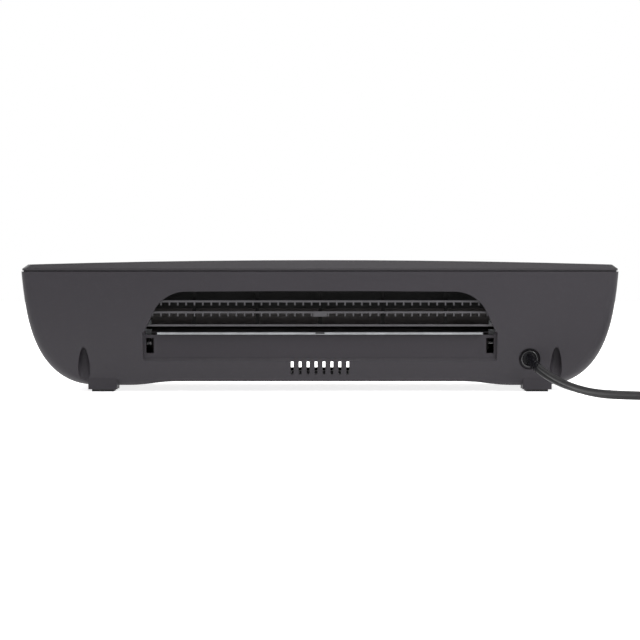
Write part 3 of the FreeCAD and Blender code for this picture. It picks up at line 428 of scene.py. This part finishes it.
def lead_outline(core=1.8, spread=1.7, web=1.1, steps=7, grow=0.0):
    """The flat twin lead's section in millimetres: two round cores with a groove between them."""
    last = math.pi - math.asin(web / core)
    arc = [last * i / steps for i in range(steps + 1)]
    quarter = [(spread + (core + grow) * math.cos(a), (core + grow) * math.sin(a)) for a in arc]
    half = quarter + [(-w, t) for w, t in reversed(quarter)]
    return half + [(w, -t) for w, t in reversed(half[1:-1])]


def squarish(width, height, power=3.2, count=28):
    """A rounded rectangle's outline."""
    outline = []
    for i in range(count):
        turn = 2 * math.pi * i / count
        c, s = math.cos(turn), math.sin(turn)
        outline.append((math.copysign(abs(c) ** (2 / power), c) * width / 2,
                        math.copysign(abs(s) ** (2 / power), s) * height / 2))
    return outline


def swept(line, across, outlines, closed=False):
    """Corners and faces through an outline at each point of a line; across is where its width points."""
    corners, faces, size = [], [], len(outlines[0])
    for at, ahead, wide, outline in zip(line, headings(line), across, outlines):
        wide = (wide - ahead * wide.dot(ahead)).normalized()
        thick = ahead.cross(wide)
        corners += [at + (wide * w + thick * t) * MM for w, t in outline]
    rings = len(line)
    for i in range(rings if closed else rings - 1):
        here, there = i * size, (i + 1) % rings * size
        for k in range(size):
            after = (k + 1) % size
            faces.append((here + k, here + after, there + after, there + k))
    if not closed:
        faces += [tuple(reversed(range(size))), tuple(range((rings - 1) * size, rings * size))]
    return corners, faces


def case_piece(name, sweeps, slot):
    """One piece that rides on the case, made of one or more swept surfaces."""
    corners, faces = [], []
    for more_corners, more_faces in sweeps:
        first = len(corners)
        corners += more_corners
        faces += [tuple(first + k for k in face) for face in more_faces]
    mesh = bpy.data.meshes.new(name)
    mesh.from_pydata(corners, [], faces)
    mesh.shade_smooth()
    piece = place(name, mesh, (0, 0, 0))
    coat_with(piece, finishes[slot])
    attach(piece, "case")
    return piece


def skin(name, line, across, outlines, closed=False, slot="lead_pvc"):
    return case_piece(name, [swept(line, across, outlines, closed)], slot)


coil_centre = Vector((-287, 112, 0))
coil_start, coil_finish = 92, 193 + 5 * 360      # degrees
coil_outer_turn = 45.8
lead_pitch = 7.1         # one turn to the next, side by side
layer_rise = 3.8         # one layer to the next
lead_half_height = 1.9
plug_x, plug_height = -325, 7
out_of_gland = [(-152.8, 60.0, 24.3), (-152.8, 71.5, 23.4), (-156.5, 81.5, 18.6), (-163, 92.5, 13.4),
                (-171.5, 104.5, 8.8), (-181, 117.5, 5.5), (-190.5, 132, 3.5), (-201, 146, 3.2),
                (-214.5, 153.5, 3.1), (-231, 158.3, 3.1), (-250, 159, 2.5), (-268, 158.3, 1.9)]
to_plug = [(-329.2, 91.5, 9.4), (-327, 82, 9.3), (-327, 73, 8.9), (-326.2, 63, 7.8), (-325, 53, 7.0),
           (-325, 40, 7.0)]


def coil_turns(step=15):
    """The lead lies flat in three layers: in to the middle, back out on top, and once more round."""
    turns = []
    for degrees in range(coil_start, coil_finish + 1, step):
        gone = (degrees - coil_start) / 360
        radius = coil_outer_turn - lead_pitch * min(gone, 2.05) + lead_pitch * min(max(gone - 2.35, 0), 2.0)
        height = lead_half_height + layer_rise * ease(gone, 2.0, 2.35) + layer_rise * ease(gone, 4.3, 4.7)
        angle = math.radians(degrees)
        turns.append((coil_centre.x + radius * math.cos(angle),
                      coil_centre.y + radius * math.sin(angle), height))
    return turns


lead_line = smooth_line(out_of_gland + coil_turns() + to_plug)
lead_marks = along(lead_line)
# The lead stands on edge out of the gland, leans over on the table, and lies flat in the coil.
lead_lean = [math.radians(40 * ease(mark, 22, 75) + 50 * ease(mark, 118, 178)) for mark in lead_marks]
lead_across = [UP * math.cos(lean) + ahead.cross(UP).normalized() * math.sin(lean)
               for lean, ahead in zip(lead_lean, headings(lead_line))]
mains_lead = skin("mains_lead", lead_line, lead_across, [lead_outline()] * len(lead_line))
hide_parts("power_cord", "cord_coil")


def ribbed_sleeve():
    """A tapered sleeve that hugs the lead out of the gland, with ribs that let it bend."""
    length, ribs = 27, 7
    thick, thin, rib_depth = 0.75, 0.15, 0.22
    line, across, outlines = [], [], []
    inside = [i for i, mark in enumerate(lead_marks) if mark <= length]
    for i in inside[:-1]:
        for t in (0, 0.25, 0.5, 0.75):
            line.append(lead_line[i].lerp(lead_line[i + 1], t))
            across.append(lead_across[i].lerp(lead_across[i + 1], t))
    for k in range(len(line)):
        t = k / (len(line) - 1)
        grow = thick + (thin - thick) * t - rib_depth * (math.sin(math.pi * ribs * t) ** 8)
        outlines.append(squarish(7.2 + 2 * grow, 3.8 + 2 * grow, 2.5))
    return skin("lead_sleeve", line, across, outlines, slot="gland_black")


lead_sleeve = ribbed_sleeve()


def gland_rim():
    """The gland's rolled rim: a glossy bead round its flange."""
    low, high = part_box("strain_relief")
    middle, face = (low + high) / 2, high.y
    radius = (high.x - low.x) / 2 - 0.9 * MM
    line, outward = [], []
    for i in range(64):
        turn = 2 * math.pi * i / 64
        outward.append(Vector((math.cos(turn), 0, math.sin(turn))))
        line.append(Vector((middle.x, face - 0.1 * MM, middle.z)) + outward[-1] * radius)
    bead = [(0.85 * math.cos(a), 0.75 * math.sin(a)) for a in (math.pi * k / 6 for k in range(12))]
    rim = skin("gland_rim", line, outward, [bead] * len(line), closed=True, slot="gland_black")
    coat_with(rim, glossy("gland_rim_nylon", (0.010, 0.010, 0.011), rough=0.16, sheen=0.4, coat=0.25))


gland_rim()


def coil_tie(name, degrees):
    """A plastic-coated tie round all the turns, with its ends twisted together on top."""
    angle = math.radians(degrees)
    outward = Vector((math.cos(angle), math.sin(angle), 0))
    middle = coil_centre * MM + outward * 38.4 * MM + UP * 6.0 * MM
    strip = squarish(4.6, 0.7, 3, 12)
    line = [middle + (outward * w + UP * t) * MM for w, t in squarish(22.4, 11.2, 6, 56)]
    wrap = skin(name, line, [outward.cross(UP)] * len(line), [strip] * len(line), closed=True)
    twist = []
    for i in range(60):
        t = i / 59
        curl = t * 5 * math.pi
        twist.append(middle + (UP * (5.7 + 1.3 * math.sin(math.pi * t)) + outward.cross(UP) * (26 * t)) * MM
                     + (outward * math.cos(curl) + UP * math.sin(curl)) * 0.8 * MM)
    tail = skin(name + "_twist", twist, [outward] * len(twist), [squarish(2.2, 1.4, 2.5, 12)] * len(twist))
    return [wrap, tail]


ties = coil_tie("lead_tie", 20)


def mains_plug():
    """A moulded two-blade plug: a flat grip with finger ribs, waisted behind the face."""
    front, back, steps = 16.0, 44.0, 56
    line, outlines = [], []
    for i in range(steps + 1):
        t = i / steps
        line.append(Vector((plug_x, back + (front - back) * t, plug_height)) * MM)
        width = 10.5 + 10.3 * ease(t, 0.0, 0.42) - 1.6 * ease(t, 0.5, 0.72) + 1.7 * ease(t, 0.76, 0.86)
        height = 8.2 + 5.6 * ease(t, 0.0, 0.45) - 1.4 * ease(t, 0.5, 0.72) + 1.5 * ease(t, 0.76, 0.86)
        rib = 0.5 * math.sin(math.pi * min(1, max(0, (t - 0.42) / 0.34)) * 5) ** 6
        tuck = 0.8 * ease(t, 0.96, 1.0)
        outlines.append(squarish(width - rib - tuck, height - rib - tuck, 3.4, 40))
    return skin("plug_shell", line, [Vector((1, 0, 0))] * len(line), outlines)


plug_shell = mains_plug()
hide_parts("plug_body")


def plug_neck():
    """The ribbed taper that guards the lead where it goes into the plug."""
    line, outlines = [], []
    for i in range(64):
        t = i / 63
        line.append(Vector((plug_x, 62 - 20 * t, plug_height + 0.7 * (1 - t))) * MM)
        ring = 0.55 * abs(math.sin(math.pi * 6 * t)) ** 0.5
        outlines.append(squarish(8.0 + 2.8 * t - 0.9 * (1 - ring), 4.9 + 3.4 * t - 0.9 * (1 - ring), 2.6))
    return skin("plug_neck", line, [Vector((1, 0, 0))] * len(line), outlines)


neck = plug_neck()


# ---- Pressure springs ----
def pressure_springs(name, node, turns=4, steps=24):
    """A coil spring over each end of an upper roller, in place of the part's own springs."""
    low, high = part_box(node)
    wire = 0.5 * MM
    outer = (high.y - low.y) / 2
    rounds = [2 * math.pi * i / steps for i in range(turns * steps + 1)]
    climb = (high.z - low.z - 2 * wire) / rounds[-1]
    section = [(0.5 * math.cos(a), 0.5 * math.sin(a)) for a in (math.pi * k / 6 for k in range(12))]
    coils = []
    for side in (-1, 1):
        middle = Vector((side * (high.x - outer), (low.y + high.y) / 2, low.z + wire))
        line = [middle + Vector((math.cos(a), math.sin(a), 0)) * (outer - wire) + UP * climb * a
                for a in rounds]
        coils.append(swept(line, [UP] * len(line), [section] * len(line)))
    springs = case_piece(name, coils, "spring_steel")
    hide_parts(node)
    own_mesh(springs)


pressure_springs("hot_pressure_springs", "hot_springs")
pressure_springs("exit_pressure_springs", "exit_springs")


# ---- Table ----
def table_top():
    mesh = bpy.data.meshes.new("table")
    reach = 4.0
    mesh.from_pydata([(-reach, -reach, 0), (reach, -reach, 0), (reach, reach, 0), (-reach, reach, 0)], [],
                     [(0, 1, 2, 3)])
    f = Finish("pale_table", Specular_IOR_Level=0.1, Emission_Color=(1, 1, 1, 1), Emission_Strength=0.80)
    cloud = f.noise(400, 2)
    mesh.materials.append(f.done(Base_Color=f.mix(cloud, (0.90, 0.90, 0.90), (0.94, 0.94, 0.94)),
                                 Roughness=0.6 + cloud * 0.1))
    place("table", mesh, (0, 0, 0))


table_top()
